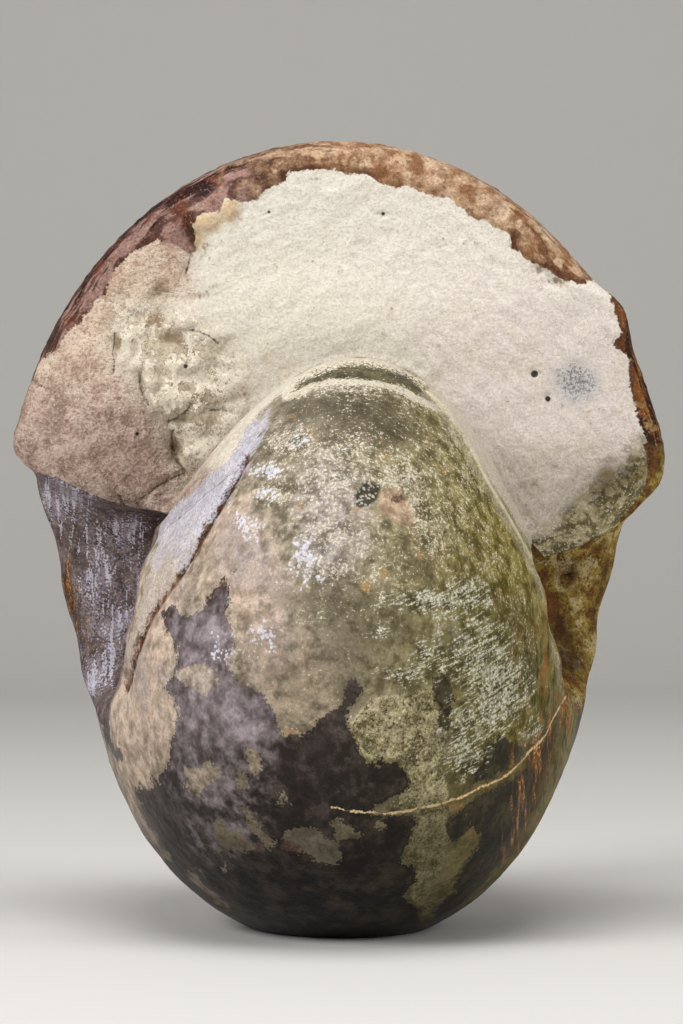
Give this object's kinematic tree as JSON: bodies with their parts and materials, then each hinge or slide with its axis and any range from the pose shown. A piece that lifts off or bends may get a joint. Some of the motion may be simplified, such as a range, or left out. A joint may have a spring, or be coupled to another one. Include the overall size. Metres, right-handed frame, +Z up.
{
  "type": "ammonite fossil",
  "caption": "Swollen, deeply coiled ammonite fossil standing on a small flat, with a pale broken end riding over the rounded whorl beneath it.",
  "frame": {"origin": "centre of the small flat in the outer whorl that the fossil stands on", "axes": "+Z up from the flat, through the coil to the top of the broken end; the broken end faces -Y; X is the coil axis, with +X to the right as seen from -Y"},
  "size_m": [0.1251, 0.1318, 0.1514],
  "materials": {
    "fossil_limestone": "worn, from chalky on the broken end to smooth and faintly glossy on the whorl"
  },
  "bodies": {
    "root": {"ammonite_fossil": "fossil_limestone"}
  },
  "joints": []
}
